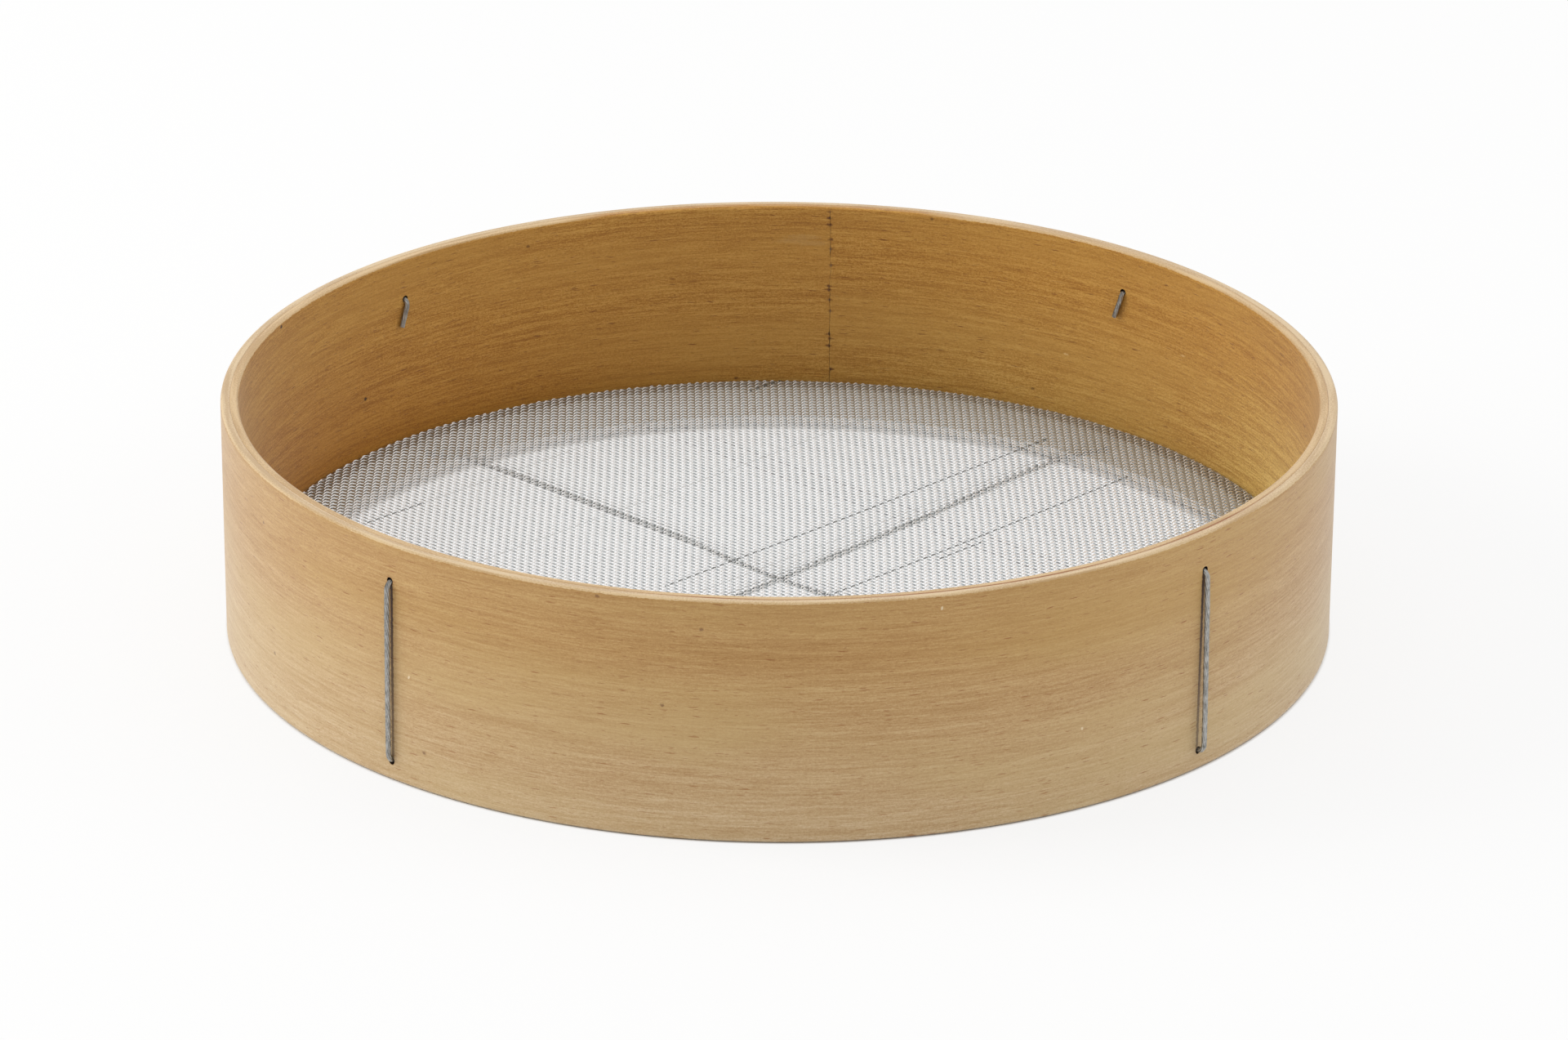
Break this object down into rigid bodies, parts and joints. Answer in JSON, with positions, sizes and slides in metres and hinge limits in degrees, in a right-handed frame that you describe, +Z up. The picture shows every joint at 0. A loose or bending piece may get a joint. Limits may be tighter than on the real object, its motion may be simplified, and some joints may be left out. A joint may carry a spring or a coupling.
{
  "type": "drum sieve",
  "caption": "Tamis drum sieve: a round bent-beech hoop with woven wire mesh stretched low in it over a clamp ring, held by crossed twisted wires stitched through the wall.",
  "frame": {"origin": "centre of the hoop's lower edge, on the surface that it stands on", "axes": "+Z up along the hoop's axis, towards the deep side that food is put in; -Y is the front, where the picture was taken from"},
  "size_m": [0.3, 0.3, 0.0655],
  "materials": {
    "beech_outer": "bare steam-bent beech, sanded",
    "beech_inner": "bare steam-bent beech, sanded, a little darker",
    "beech_ring": "bare beech",
    "mesh_wire": "bright tinned or stainless wire, plain weave",
    "twisted_wire": "dull galvanised stranded wire"
  },
  "bodies": {
    "root": {"outer_hoop": "beech_outer", "inner_hoop": "beech_inner", "clamp_ring": "beech_ring", "wire_mesh": "mesh_wire", "cross_wire_a": "twisted_wire", "cross_wire_b": "twisted_wire"}
  },
  "joints": []
}
